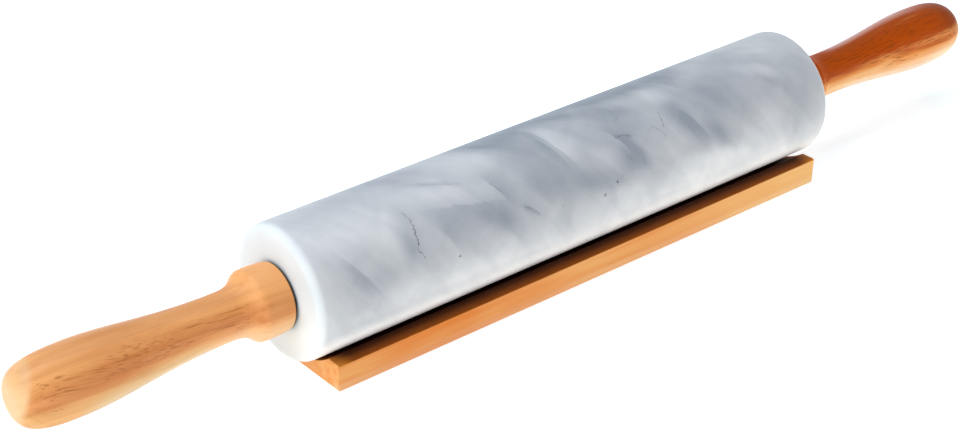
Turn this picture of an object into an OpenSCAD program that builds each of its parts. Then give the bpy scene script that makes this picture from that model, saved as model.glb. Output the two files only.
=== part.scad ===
// Marble rolling pin resting in its grooved wooden cradle.
// The pin lies along X and the cradle stands on Z = 0, centred on the origin.
// Handle outlines run along s: s = 0 is the collar face beside the barrel, and s grows towards the butt.

/* [Marble barrel] */
// Length of the stone barrel
barrel_len = 254; // [180:1:330]
// Outer diameter of the stone barrel
barrel_d = 51.6; // [46:0.2:70]
// Radius of the rounded rim at each end of the barrel
rim_r = 3.2; // [0.5:0.1:6]
// Diameter of the hole drilled through the stone
core_d = 14; // [11:0.5:16]

/* [Bearings] */
// Outer diameter of the bearing sleeve and of its counterbore in the stone
bearing_d = 18; // [16.5:0.5:21]
// Length of the bearing sleeve below its flange
bearing_len = 14; // [8:1:30]
// Diameter of the bearing flange
bearing_flange_d = 22; // [21.5:0.5:24]
// Thickness of the bearing flange
bearing_flange_t = 1.7; // [1:0.1:3]
// How far the flange stands proud of the stone's end face
flange_proud = 0.2; // [0.05:0.05:0.6]

/* [Axle] */
// Diameter of the steel rod
rod_d = 8; // [6:0.5:9]
// Radial running clearance between the rod and each bearing
rod_clearance = 0.05; // [0.01:0.01:0.1]
// Length of rod screwed into each handle, measured from the collar face
rod_in_handle = 24; // [16:0.5:26]
// Chamfer on the tips of the rod
rod_chamfer = 1; // [0.3:0.1:2]
// End play between each bearing flange and its thrust washer
end_play = 0.12; // [0.05:0.01:0.4]

/* [Thrust washers] */
// Outer diameter of the thrust washers
washer_d = 24; // [20:0.5:25]
// Thickness of the thrust washers
washer_t = 0.5; // [0.3:0.1:1.5]
// Radial clearance between a thrust washer and the rod
washer_clearance = 0.15; // [0.05:0.05:0.5]

/* [Stop nuts] */
// Width across the flats of each stop nut
nut_flats = 13; // [11:0.5:13.5]
// Thickness of each stop nut
nut_t = 4; // [3:0.5:6]
// Depth from the collar face to the stop nut
nut_depth = 2.5; // [1:0.5:4]
// Radial clearance between the nut's corners and its pocket
nut_clearance = 0.5; // [0.2:0.1:1]

/* [Threaded inserts] */
// Outer diameter of each brass insert
insert_d = 11; // [10.5:0.5:13]
// Length of each brass insert
insert_len = 18; // [14:1:20]
// Width of the glue groove around each insert
insert_groove_w = 2; // [1:0.5:4]
// Depth of the glue groove
insert_groove_depth = 0.5; // [0.2:0.1:0.6]

/* [Handles] */
// Length of each handle from collar face to butt
handle_len = 103.4; // [90:0.1:130]
// Radius of the collar at its fullest
collar_r = 13.3; // [12.7:0.1:15]
// How much the collar's radius draws in at its face
collar_draw = 0.55; // [0:0.05:0.6]
// Rounding of the edge of the collar face
collar_edge_r = 0.5; // [0.2:0.1:1]
// Length of the collar up to where its shoulder starts to fall
collar_len = 10.2; // [8:0.1:12]
// Radius of the neck
neck_r = 9.0; // [8:0.1:11]
// Distance from the collar face to the thinnest point of the neck
neck_s = 22; // [19:0.5:28]
// Radius of the grip at its fullest
grip_r = 12.95; // [12:0.05:15]
// Distance from the butt back to where the grip is fullest
grip_back = 24.4; // [18:0.1:32]
// How long the neck stays slender, as a share of the way from neck to grip
neck_pull = 0.46; // [0.3:0.01:0.6]
// How early the grip becomes full, as a share of the way from neck to grip
grip_pull = 0.26; // [0.15:0.01:0.4]
// Clear depth of the hole past the end of the rod
tip_gap = 2; // [1:0.5:6]

/* [Cradle] */
// How far the cradle's ends stay inside the ends of the barrel
cradle_inset = 6.4; // [0:0.1:20]
// Height of the cradle
cradle_h = 10.6; // [8:0.1:14]
// Thickness of wood under the bottom of the groove
groove_floor = 3.6; // [2:0.1:6]
// How much larger the groove's radius is than the barrel's
groove_ease = 6.2; // [1:0.1:12]
// Width of the flat lip on each side of the groove
lip_w = 6; // [3:0.1:12]
// Rounding of the cradle's long top edges
cradle_edge_r = 0.8; // [0.3:0.1:2]
// Gap between the barrel and the bottom of the groove
seat_gap = 0.3; // [0.05:0.05:0.6]

/* [Hidden] */

$fn = 96;
edge_steps = 6;
curve_steps = 14;
butt_steps = 18;
overcut = 1;

barrel_r = barrel_d / 2;
barrel_end = barrel_len / 2;
rod_r = rod_d / 2;
flange_recess = bearing_flange_t - flange_proud;
sleeve_depth = flange_recess + bearing_len;

// The collar face stands off the stone by the proud flange, the end play and the washer.
collar_x = barrel_end + flange_proud + end_play + washer_t;
nut_corner_r = nut_flats / 2 / cos(30);
nut_chamfer = nut_corner_r - nut_flats / 2;
pocket_r = nut_corner_r + nut_clearance;
pocket_depth = nut_depth + nut_t;
rod_hole_depth = max(rod_in_handle + tip_gap, pocket_depth + insert_len);
rod_half_len = collar_x + rod_in_handle;
grip_s = handle_len - grip_back;

axis_z = groove_floor + seat_gap + barrel_r;
groove_r = barrel_r + groove_ease;
groove_depth = cradle_h - groove_floor;
groove_half_w = sqrt(groove_r * groove_r - pow(groove_r - groove_depth, 2));
cradle_len = barrel_len - 2 * cradle_inset;
cradle_w = 2 * (groove_half_w + lip_w);

stone = "#dfe2e8";
turned_wood = "#e3a567";
cradle_wood = "#dd9650";
steel = "silver";
brass = "#c8a24c";
nylon = "#efece2";
black_nylon = "#1b1b1d";

// A point on a cubic curve between a and d that leaves towards b and arrives from c.
function cubic(a, b, c, d, t) =
    pow(1 - t, 3) * a + 3 * pow(1 - t, 2) * t * b + 3 * (1 - t) * t * t * c + pow(t, 3) * d;

function cubic_run(a, b, c, d, steps) =
    [for (i = [1 : steps]) cubic(a, b, c, d, i / steps)];

// Points on an arc about c, from angle a to angle b.
function arc(c, r, a, b, steps) =
    [for (i = [0 : steps]) c + r * [cos(a + (b - a) * i / steps), sin(a + (b - a) * i / steps)]];

// The collar's face edge, then its gentle crown up to the fullest radius.
function collar_outline() =
    let (face_r = collar_r - collar_draw)
    concat(
        arc([face_r - collar_edge_r, collar_edge_r], collar_edge_r, -90, 0, edge_steps),
        cubic_run([face_r, collar_edge_r], [face_r + collar_draw / 2, collar_len / 4],
                  [collar_r, collar_len / 2], [collar_r, collar_len], curve_steps / 2));

// The shoulder falls from the collar to the neck in one S-shaped sweep.
function shoulder_outline() =
    let (fall = neck_s - collar_len)
    cubic_run([collar_r, collar_len], [collar_r, collar_len + 0.27 * fall],
              [neck_r, collar_len + 0.24 * fall], [neck_r, neck_s], curve_steps);

function grip_outline() =
    let (run = grip_s - neck_s)
    cubic_run([neck_r, neck_s], [neck_r, neck_s + neck_pull * run],
              [grip_r, grip_s - grip_pull * run], [grip_r, grip_s], curve_steps);

// The butt is a blunt dome: radius = grip_r * (1 - u^3)^(1/4), with u from 0 at the grip to 1 at the end.
function butt_outline() =
    [for (i = [1 : butt_steps])
        let (a = 90 * i / butt_steps)
        [i == butt_steps ? 0 : grip_r * sqrt(cos(a)), grip_s + grip_back * pow(sin(a), 2 / 3)]];

function handle_outline() =
    concat([[0, 0]], collar_outline(), shoulder_outline(), grip_outline(), butt_outline());

// Turns a shape made along Z so that it lies along the pin's axis, with its +Z end at side +1 or -1.
module along_axis(side = 1) {
    translate([0, 0, axis_z])
        rotate([0, 90 * side, 0])
            children();
}

// Places a handle's own shape with its collar face beside the barrel on one side.
module at_handle(side) {
    along_axis(side)
        translate([0, 0, collar_x])
            children();
}

module barrel_section() {
    square_r = barrel_r - rim_r;
    translate([0, -barrel_end])
        square([square_r, barrel_len]);
    translate([0, -barrel_end + rim_r])
        square([barrel_r, barrel_len - 2 * rim_r]);
    for (end = [-1, 1])
        translate([square_r, end * (barrel_end - rim_r)])
            circle(r = rim_r);
}

module marble_barrel() {
    color(stone)
        difference() {
            along_axis()
                rotate_extrude()
                    barrel_section();
            along_axis()
                cylinder(d = core_d, h = barrel_len + 2 * overcut, center = true);
            for (side = [-1, 1])
                along_axis(side) {
                    translate([0, 0, barrel_end - sleeve_depth])
                        cylinder(d = bearing_d, h = sleeve_depth + overcut);
                    translate([0, 0, barrel_end - flange_recess])
                        cylinder(d = bearing_flange_d, h = flange_recess + overcut);
                }
        }
}

module bearing(side) {
    color(nylon)
        along_axis(side)
            difference() {
                union() {
                    translate([0, 0, barrel_end - sleeve_depth])
                        cylinder(d = bearing_d, h = bearing_len + bearing_flange_t);
                    translate([0, 0, barrel_end - flange_recess])
                        cylinder(d = bearing_flange_d, h = bearing_flange_t);
                }
                translate([0, 0, barrel_end - sleeve_depth - overcut])
                    cylinder(r = rod_r + rod_clearance, h = sleeve_depth + flange_proud + 2 * overcut);
            }
}

module axle_rod() {
    shank = rod_half_len - rod_chamfer;
    color(steel)
        along_axis()
            rotate_extrude()
                polygon([[0, -rod_half_len], [rod_r - rod_chamfer, -rod_half_len], [rod_r, -shank],
                         [rod_r, shank], [rod_r - rod_chamfer, rod_half_len], [0, rod_half_len]]);
}

module thrust_washer(side) {
    color(black_nylon)
        at_handle(side)
            translate([0, 0, -washer_t])
                difference() {
                    cylinder(d = washer_d, h = washer_t);
                    translate([0, 0, -overcut])
                        cylinder(r = rod_r + washer_clearance, h = washer_t + 2 * overcut);
                }
}

// A hexagon nut with its corners chamfered on both faces.
module stop_nut(side) {
    color(steel)
        at_handle(side)
            translate([0, 0, nut_depth])
                difference() {
                    intersection() {
                        cylinder(r = nut_corner_r, h = nut_t, $fn = 6);
                        rotate_extrude()
                            polygon([[0, 0], [nut_flats / 2, 0], [nut_corner_r, nut_chamfer],
                                     [nut_corner_r, nut_t - nut_chamfer], [nut_flats / 2, nut_t], [0, nut_t]]);
                    }
                    translate([0, 0, -overcut])
                        cylinder(r = rod_r, h = nut_t + 2 * overcut);
                }
}

module threaded_insert(side) {
    groove_at = (insert_len - insert_groove_w) / 2;
    color(brass)
        at_handle(side)
            translate([0, 0, pocket_depth])
                difference() {
                    cylinder(d = insert_d, h = insert_len);
                    translate([0, 0, groove_at])
                        difference() {
                            cylinder(d = insert_d + 2 * overcut, h = insert_groove_w);
                            cylinder(r = insert_d / 2 - insert_groove_depth, h = insert_groove_w);
                        }
                    translate([0, 0, -overcut])
                        cylinder(r = rod_r, h = insert_len + 2 * overcut);
                }
}

module handle(side) {
    color(turned_wood)
        at_handle(side)
            difference() {
                rotate_extrude()
                    polygon(handle_outline());
                translate([0, 0, -overcut]) {
                    cylinder(r = pocket_r, h = pocket_depth + overcut);
                    cylinder(d = insert_d, h = pocket_depth + insert_len + overcut);
                    cylinder(r = rod_r + washer_clearance, h = rod_hole_depth + overcut);
                }
            }
}

// The cradle's cross-section: a flat board with its two long top edges eased.
module board_section() {
    half_w = cradle_w / 2;
    edge_y = half_w - cradle_edge_r;
    edge_z = cradle_h - cradle_edge_r;
    polygon(concat(
        [[-half_w, 0], [half_w, 0]],
        arc([edge_y, edge_z], cradle_edge_r, 0, 90, edge_steps),
        arc([-edge_y, edge_z], cradle_edge_r, 90, 180, edge_steps)));
}

module cradle() {
    color(cradle_wood)
        difference() {
            rotate([90, 0, 90])
                linear_extrude(height = cradle_len, center = true)
                    board_section();
            translate([0, 0, groove_floor + groove_r])
                rotate([0, 90, 0])
                    cylinder(r = groove_r, h = cradle_len + 2 * overcut, center = true);
        }
}

cradle();
marble_barrel();
bearing(-1);  // left_bearing
bearing(1);  // right_bearing
axle_rod();
thrust_washer(-1);  // left_thrust_washer
thrust_washer(1);  // right_thrust_washer
stop_nut(-1);  // left_stop_nut
stop_nut(1);  // right_stop_nut
threaded_insert(-1);  // left_threaded_insert
threaded_insert(1);  // right_threaded_insert
handle(-1);  // left_handle
handle(1);  // right_handle
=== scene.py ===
"""Looks, light and camera for the marble rolling pin on its grooved wooden cradle.

Lengths are in metres in the model's own frame: the pin lies along X and the cradle stands on Z = 0. An angle
about the pin's axis is in degrees, with 0 facing the front (-Y) and 90 facing up. Colours are linear values
of red, green and blue.
"""

from functools import reduce
from math import asin, cos, degrees, pi, radians, sin, sqrt

import bmesh
import bpy
from mathutils import Matrix, Vector

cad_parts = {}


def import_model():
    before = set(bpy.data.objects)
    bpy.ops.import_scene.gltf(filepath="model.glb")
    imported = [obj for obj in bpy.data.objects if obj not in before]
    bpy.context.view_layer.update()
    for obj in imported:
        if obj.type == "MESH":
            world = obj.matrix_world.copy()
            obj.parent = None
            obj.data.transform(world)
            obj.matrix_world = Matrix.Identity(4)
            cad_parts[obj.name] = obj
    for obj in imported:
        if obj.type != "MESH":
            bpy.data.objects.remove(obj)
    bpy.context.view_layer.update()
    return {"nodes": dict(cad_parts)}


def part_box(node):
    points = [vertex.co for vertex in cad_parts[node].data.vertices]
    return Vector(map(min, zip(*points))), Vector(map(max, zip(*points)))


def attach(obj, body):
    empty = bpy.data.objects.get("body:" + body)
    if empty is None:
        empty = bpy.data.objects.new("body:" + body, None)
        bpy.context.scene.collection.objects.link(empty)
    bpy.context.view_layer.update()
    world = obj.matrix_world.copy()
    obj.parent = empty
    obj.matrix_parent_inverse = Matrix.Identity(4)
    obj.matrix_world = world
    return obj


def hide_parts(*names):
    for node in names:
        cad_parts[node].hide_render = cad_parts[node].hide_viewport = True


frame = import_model()

MM = 0.001

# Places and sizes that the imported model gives
BARREL_LOW, BARREL_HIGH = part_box("marble_barrel")
BARREL_END = BARREL_HIGH.x
BARREL_R = (BARREL_HIGH.z - BARREL_LOW.z) / 2
AXIS_Z = (BARREL_HIGH.z + BARREL_LOW.z) / 2
COLLAR_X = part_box("right_handle")[0].x
HANDLE_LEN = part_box("right_handle")[1].x - COLLAR_X
CRADLE_END, CRADLE_HALF_W, CRADLE_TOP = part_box("cradle")[1]
ROD_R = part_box("axle_rod")[1].y

# Barrel sizes. A narrow ring of faces beside each rim keeps the shading of the end face flat.
RIM_R = 3.2 * MM
FACE_RING = 0.5 * MM
CORE_R = 7 * MM
SLEEVE_R = 9 * MM
SLEEVE_DEPTH = 15.5 * MM
FLANGE_R = 11 * MM
FLANGE_DEPTH = 1.5 * MM

# Handle sizes. A place s is a distance from the collar's face towards the butt. The collar narrows by its
# draw towards that face, and the grip is widest at GRIP_BACK before the butt's end. A pull is how far a
# curve's control point lies from the curve's end, as a share of the curve's length in s. The pocket holds a
# stop nut with some room around its corners.
COLLAR_R = 13.3 * MM
COLLAR_DRAW = 0.55 * MM
COLLAR_EDGE_R = 0.5 * MM
COLLAR_LEN = 10.2 * MM
SHOULDER_PULL = 0.27
SHOULDER_NECK_PULL = 0.76
NECK_R = 9.0 * MM
NECK_S = 22 * MM
NECK_PULL = 0.46
GRIP_R = 12.95 * MM
GRIP_BACK = 24.4 * MM
GRIP_PULL = 0.26
POCKET_R = 8.0056 * MM
POCKET_DEPTH = 6.5 * MM
INSERT_R = 5.5 * MM
INSERT_END = 24.5 * MM
ROD_HOLE_R = ROD_R + 0.15 * MM
ROD_HOLE_END = 26 * MM

# Cradle sizes. The groove's radius is larger than the barrel's by its ease.
GROOVE_FLOOR = 3.6 * MM
GROOVE_EASE = 6.2 * MM
CRADLE_EDGE_R = 0.8 * MM
CRADLE_END_BEVEL = 0.35 * MM
CRADLE_BEVEL_STEPS = 3

# How finely the curves are drawn, and the angles in degrees past which an edge is shaded as sharp
LATHE_SEGMENTS = 192
ARC_STEPS = 12
STATIONS = 24
SHARP_ANGLE = 30
CRADLE_SHARP_ANGLE = 35


# Outlines


def arc(cx, cy, r, start, end, steps):
    """Points on an arc about (cx, cy), with angles in degrees."""
    angles = [radians(start + (end - start) * i / steps) for i in range(steps + 1)]
    return [(cx + r * cos(a), cy + r * sin(a)) for a in angles]


def cubic(a, b, c, d, steps):
    """Points on a cubic curve after its first one, a."""
    run = []
    for i in range(1, steps + 1):
        t = i / steps
        weights = ((1 - t) ** 3, 3 * (1 - t) ** 2 * t, 3 * (1 - t) * t * t, t**3)
        run.append(tuple(sum(w * p[k] for w, p in zip(weights, (a, b, c, d))) for k in (0, 1)))
    return run


def butt(grip_s, steps):
    """The grip's blunt end past grip_s, on the curve (s / GRIP_BACK) ** 3 + (radius / GRIP_R) ** 4 = 1."""
    angles = [pi / 2 * i / steps for i in range(1, steps)]
    run = [(grip_s + GRIP_BACK * sin(a) ** (2 / 3), GRIP_R * sqrt(cos(a))) for a in angles]
    return run + [(HANDLE_LEN, 0)]


def handle_outline():
    """The handle's closed outline as (s, radius), with s = 0 at the collar's face beside the barrel."""
    face_r = COLLAR_R - COLLAR_DRAW
    fall = NECK_S - COLLAR_LEN
    grip_s = HANDLE_LEN - GRIP_BACK
    rise = grip_s - NECK_S
    outline = arc(COLLAR_EDGE_R, face_r - COLLAR_EDGE_R, COLLAR_EDGE_R, 180, 90, ARC_STEPS)
    outline += cubic(
        (COLLAR_EDGE_R, face_r),
        (COLLAR_LEN / 4, face_r + COLLAR_DRAW / 2),
        (COLLAR_LEN / 2, COLLAR_R),
        (COLLAR_LEN, COLLAR_R),
        2 * ARC_STEPS,
    )
    outline += cubic(
        (COLLAR_LEN, COLLAR_R),
        (COLLAR_LEN + SHOULDER_PULL * fall, COLLAR_R),
        (NECK_S - SHOULDER_NECK_PULL * fall, NECK_R),
        (NECK_S, NECK_R),
        4 * ARC_STEPS,
    )
    outline += cubic(
        (NECK_S, NECK_R),
        (NECK_S + NECK_PULL * rise, NECK_R),
        (grip_s - GRIP_PULL * rise, GRIP_R),
        (grip_s, GRIP_R),
        4 * ARC_STEPS,
    )
    outline += butt(grip_s, 4 * ARC_STEPS)
    outline += [
        (ROD_HOLE_END, 0),
        (ROD_HOLE_END, ROD_HOLE_R),
        (INSERT_END, ROD_HOLE_R),
        (INSERT_END, INSERT_R),
        (POCKET_DEPTH, INSERT_R),
        (POCKET_DEPTH, POCKET_R),
        (0, POCKET_R),
    ]
    return outline


def barrel_outline():
    """The stone's closed outline as (x, radius): end faces, rounded rims, counterbores and core hole."""
    side_end = BARREL_END - RIM_R
    side = [(side_end * (2 * i / STATIONS - 1), BARREL_R) for i in range(1, STATIONS)]
    right = arc(side_end, BARREL_R - RIM_R, RIM_R, 90, 0, ARC_STEPS)
    right += [
        (BARREL_END, BARREL_R - RIM_R - FACE_RING),
        (BARREL_END, FLANGE_R),
        (BARREL_END - FLANGE_DEPTH, FLANGE_R),
        (BARREL_END - FLANGE_DEPTH, SLEEVE_R),
        (BARREL_END - SLEEVE_DEPTH, SLEEVE_R),
        (BARREL_END - SLEEVE_DEPTH, CORE_R),
    ]
    left = [(-x, r) for x, r in reversed(right)]
    return left + side + right


def cradle_section():
    """The board's closed cross-section as (y, z), with two eased top edges and the wide groove."""
    groove_r = BARREL_R + GROOVE_EASE
    centre_z = GROOVE_FLOOR + groove_r
    groove_half_w = sqrt(groove_r**2 - (centre_z - CRADLE_TOP) ** 2)
    reach = degrees(asin(groove_half_w / groove_r))
    edge_y, edge_z = CRADLE_HALF_W - CRADLE_EDGE_R, CRADLE_TOP - CRADLE_EDGE_R
    section = [(-CRADLE_HALF_W, 0), (CRADLE_HALF_W, 0)]
    section += arc(edge_y, edge_z, CRADLE_EDGE_R, 0, 90, ARC_STEPS)
    section += arc(0, centre_z, groove_r, -90 + reach, -90 - reach, 4 * ARC_STEPS)
    section += arc(-edge_y, edge_z, CRADLE_EDGE_R, 90, 180, ARC_STEPS)
    return section


# Meshes


def link(name, data):
    """Adds an object to the scene."""
    made = bpy.data.objects.new(name, data)
    bpy.context.scene.collection.objects.link(made)
    return made


def finish_mesh(name, bm, sharp_angle=SHARP_ANGLE):
    """Turns a bmesh into an object with smooth shading that breaks at edges sharper than sharp_angle."""
    bmesh.ops.recalc_face_normals(bm, faces=bm.faces)
    mesh = bpy.data.meshes.new(name)
    bm.to_mesh(mesh)
    bm.free()
    mesh.shade_smooth()
    mesh.set_sharp_from_angle(angle=radians(sharp_angle))
    return link(name, mesh)


def lathe(name, outline):
    """A solid of revolution about the pin's axis, from a closed outline of (x, radius)."""
    bm = bmesh.new()
    angles = [2 * pi * i / LATHE_SEGMENTS for i in range(LATHE_SEGMENTS)]
    rings = []
    for x, r in outline:
        if r == 0:
            rings.append([bm.verts.new((x, 0, AXIS_Z))] * LATHE_SEGMENTS)
        else:
            rings.append([bm.verts.new((x, r * cos(a), AXIS_Z + r * sin(a))) for a in angles])
    for near, far in zip(rings, rings[1:] + rings[:1]):
        if near[0] is near[1] and far[0] is far[1]:
            continue
        for i in range(LATHE_SEGMENTS):
            j = (i + 1) % LATHE_SEGMENTS
            corners = []
            for v in (near[i], near[j], far[j], far[i]):
                if v not in corners:
                    corners.append(v)
            bm.faces.new(corners)
    return finish_mesh(name, bm)


def cradle_piece(name):
    """The grooved board, drawn as its cross-section swept along X, with eased end edges."""
    bm = bmesh.new()
    section = cradle_section()
    count = len(section)
    rings = []
    for k in range(STATIONS + 1):
        x = CRADLE_END * (2 * k / STATIONS - 1)
        rings.append([bm.verts.new((x, y, z)) for y, z in section])
    for near, far in zip(rings, rings[1:]):
        for i in range(count):
            j = (i + 1) % count
            bm.faces.new((near[i], near[j], far[j], far[i]))
    end_faces = [bm.faces.new(rings[0]), bm.faces.new(rings[-1])]
    bmesh.ops.bevel(
        bm,
        geom=[edge for edge in bm.edges if any(face in end_faces for face in edge.link_faces)],
        offset=CRADLE_END_BEVEL,
        segments=CRADLE_BEVEL_STEPS,
        profile=0.5,
        affect="EDGES",
        clamp_overlap=True,
    )
    return finish_mesh(name, bm, CRADLE_SHARP_ANGLE)


# Node trees

# Nearly all of a noise's values lie in this span about its middle.
NOISE_SPAN = (0.3, 0.7)
NOISE_MIDDLE = (0.5, 0.5, 0.5)
WHITE = (1.0, 1.0, 1.0)


class Graph:
    """A node tree, built with short calls that return output sockets."""

    def __init__(self, tree):
        self.tree = tree

    def node(self, kind, values, **settings):
        """Adds a node. values maps an input's name or index to a constant or an output socket."""
        made = self.tree.nodes.new(kind)
        for key, value in settings.items():
            setattr(made, key, value)
        for key, value in values.items():
            self.put(made.inputs[key], value)
        return made

    def put(self, socket, value):
        if isinstance(value, bpy.types.NodeSocket):
            self.tree.links.new(value, socket)
        else:
            socket.default_value = value

    def math(self, operation, a, b=0.0, c=0.0):
        return self.node("ShaderNodeMath", {0: a, 1: b, 2: c}, operation=operation).outputs[0]

    def plus(self, a, b):
        return self.math("ADD", a, b)

    def minus(self, a, b):
        return self.math("SUBTRACT", a, b)

    def times(self, a, b):
        return self.math("MULTIPLY", a, b)

    def greater(self, a, b):
        return self.math("MAXIMUM", a, b)

    def absolute(self, a):
        return self.math("ABSOLUTE", a)

    def fraction(self, a):
        return self.math("FRACT", a)

    def rest_of(self, a):
        """What a leaves of 1."""
        return self.math("SUBTRACT", 1.0, a)

    def clamped(self, value):
        return self.node("ShaderNodeClamp", {"Value": value}).outputs[0]

    def remap(self, value, low, high, to_low=0.0, to_high=1.0, smooth=True):
        """to_low up to low, to_high from high on, and a smooth or straight run between them."""
        values = {"Value": value, "From Min": low, "From Max": high, "To Min": to_low, "To Max": to_high}
        kind = "SMOOTHSTEP" if smooth else "LINEAR"
        return self.node("ShaderNodeMapRange", values, interpolation_type=kind).outputs["Result"]

    def vector(self, operation, a, b=(0, 0, 0)):
        return self.node("ShaderNodeVectorMath", {0: a, 1: b}, operation=operation).outputs["Vector"]

    def moved(self, vector, by):
        return self.vector("ADD", vector, by)

    def offset(self, vector, start):
        return self.vector("SUBTRACT", vector, start)

    def stretched(self, vector, scales):
        return self.vector("MULTIPLY", vector, scales)

    def scaled(self, vector, amount):
        values = {0: vector, "Scale": amount}
        return self.node("ShaderNodeVectorMath", values, operation="SCALE").outputs["Vector"]

    def length(self, vector):
        return self.node("ShaderNodeVectorMath", {0: vector}, operation="LENGTH").outputs["Value"]

    def dot(self, a, b):
        return self.node("ShaderNodeVectorMath", {0: a, 1: b}, operation="DOT_PRODUCT").outputs["Value"]

    def turned(self, vector, angle, axis, centre=(0, 0, 0)):
        """A vector turned by an angle in radians about X_AXIS or Z_AXIS through a centre."""
        values = {"Vector": vector, "Center": centre, "Angle": angle}
        return self.node("ShaderNodeVectorRotate", values, rotation_type=axis).outputs[0]

    def split(self, vector):
        return self.node("ShaderNodeSeparateXYZ", {0: vector}).outputs

    def join(self, x, y, z):
        return self.node("ShaderNodeCombineXYZ", {0: x, 1: y, 2: z}).outputs[0]

    def noise(self, vector, scale, detail, roughness, distortion=0.0):
        values = {
            "Vector": vector,
            "Scale": scale,
            "Detail": detail,
            "Roughness": roughness,
            "Distortion": distortion,
        }
        return self.node("ShaderNodeTexNoise", values).outputs

    def level(self, vector, *noise):
        """A noise's plain value."""
        return self.noise(vector, *noise)["Fac"]

    def wander(self, noise, reach):
        """A vector about zero from a noise's colour, at most half of reach long each way."""
        return self.scaled(self.offset(noise["Color"], NOISE_MIDDLE), reach)

    def mix(self, factor, a, b, blend="MIX"):
        """Mixes two colours, each an output socket or a triple."""
        first, second = (v if isinstance(v, bpy.types.NodeSocket) else (*v, 1.0) for v in (a, b))
        values = {0: factor, 6: first, 7: second}
        return self.node("ShaderNodeMix", values, data_type="RGBA", blend_type=blend).outputs[2]

    def seen(self):
        """1 on rays from the camera, in reflections and through glass, and 0 on rays that only give light."""
        rays = self.node("ShaderNodeLightPath", {}).outputs
        seen = self.greater(rays["Is Camera Ray"], rays["Is Glossy Ray"])
        return self.greater(seen, rays["Is Transmission Ray"])


class Surface(Graph):
    """A material's node tree with its shader, the object's own places and the way that its surface faces."""

    def __init__(self, name):
        self.material = bpy.data.materials.new(name)
        self.material.use_nodes = True
        super().__init__(self.material.node_tree)
        self.shader = self.tree.nodes["Principled BSDF"]
        coords = self.node("ShaderNodeTexCoord", {})
        self.place = coords.outputs["Object"]
        self.facing_way = coords.outputs["Normal"]

    def bump(self, height, strength, distance, normal=None):
        values = {"Height": height, "Strength": strength, "Distance": distance}
        if normal is not None:
            values["Normal"] = normal
        return self.node("ShaderNodeBump", values).outputs["Normal"]

    def finish(self, colour, roughness, normal=None, **uniform):
        """Connects colour, roughness and normal, and sets uniform values on the shader's own sockets."""
        self.put(self.shader.inputs["Base Color"], colour)
        self.put(self.shader.inputs["Roughness"], roughness)
        if normal is not None:
            self.put(self.shader.inputs["Normal"], normal)
        for key, value in uniform.items():
            self.shader.inputs[key.replace("_", " ")].default_value = value
        return self.material


class PinSurface(Surface):
    """A surface that knows its places about the pin's axis: up and across from it, and the angle about it."""

    def __init__(self, name):
        super().__init__(name)
        self.x, self.across, self.height = self.split(self.place)
        self.from_middle = self.absolute(self.x)
        self.up = self.minus(self.height, AXIS_Z)
        front = self.times(self.across, -1.0)
        self.angle = self.times(self.math("ARCTAN2", self.up, front), degrees(1))

    def wound(self, vector, twist):
        """Places turned about the pin's axis by twist radians for each metre along X."""
        return self.turned(vector, self.times(self.x, twist), "X_AXIS", (0, 0, AXIS_Z))


# Marble

STONE_PALE = (0.89, 0.893, 0.89)
# Painted light from the ground below: the warmer, purer colour about the low front angle
STONE_GROUND_LIT = (0.93, 0.922, 0.885)
STONE_GREY = (0.32, 0.355, 0.405)
STONE_LINE = (0.045, 0.05, 0.08)
STONE_MAUVE = (0.60, 0.585, 0.64)
STONE_GREEN = (0.62, 0.66, 0.65)
STONE_END = (0.965, 1.0, 1.0)

# The twist in radians per metre lays the stone's strokes along slanting lines, and closes up all the way
# round. The strokes are drawn out along X.
STONE_TWIST = -50.0
STROKE_SCALES = (0.35, 1.0, 1.0)

# The stone's noises as scale, detail, roughness and, where there is one, distortion
CLOUD_NOISE = (70.0, 3.0, 0.55)
VEIN_NOISE = (800.0, 2.0, 0.6)
STROKE_NOISE = (40.0, 0.0, 0.5)
BROAD_NOISE = (26.0, 3.0, 0.5)
WISP_NOISE = (120.0, 2.0, 0.5)
MOTTLE_NOISE = (58.0, 2.0, 0.55, 0.6)
PATCH_NOISE = (85.0, 1.0, 0.5, 1.0)
GAP_NOISE = (900.0, 2.0, 0.7)
TINT_NOISE = (34.0, 2.0, 0.5)
GRAIN_NOISE = (2200.0, 2.0, 0.6)
POLISH_NOISE = (60.0, 1.0, 0.5)
WAVE_NOISE = (55.0, 2.0, 0.5)

# How far noise bends the clouds and the veins, in mm
CLOUD_WANDER = 7.0
VEIN_WANDER = 1.3

# The stone is drawn unrolled, as x and arc length in mm, once about the middle of its front and once about
# the middle of its back. The front's drawing holds the marks between two angles, and the back's the others.
ARC_MM = radians(1) * BARREL_R / MM
FRONT_MIDDLE = 40.0
BACK_MIDDLE = -140.0
FRONT_LOW = -80
FRONT_HIGH = 150

# Each change of tone or colour runs between two levels of its noise, from the first amount to the second.
BROAD_TONE = (0.30, 0.70, -0.08, 0.07)
WISP_TONE = (0.30, 0.70, -0.02, 0.035)
MOTTLE_TONE = (0.35, 0.65, -0.025, 0.055)
PATCH_TONE = (0.44, 0.56, -0.015, 0.02)
MAUVE_TINT = (0.50, 0.72, 0.0, 0.16)
GREEN_TINT = (0.28, 0.48, 0.16, 0.0)
GRAIN_TINT = (0.35, 0.65, 0.0, 0.05)

# The strokes: how many steps their noise is cut into, where a step falls off again, and their strength
STROKE_COUNT = 4.0
STROKE_FALLS = (0.80, 1.0)
STROKE_SHARE = 0.05

# A cloud fades between two shares of its half length and half width. Its crisp edge is this soft, in mm.
CLOUD_FADE = (0.10, 1.40)
CUT_EDGE = 0.6

# A mark is darkest up to one share of its half width or radius, and ends at another. It is broken up where
# its noise is low, down to a share of its strength.
MARK_CORE = 0.3
VEIN_END = 1.6
SPECK_END = 1.3
MARK_GAPS = (0.30, 0.55)
MARK_LEFT = 0.25
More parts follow.
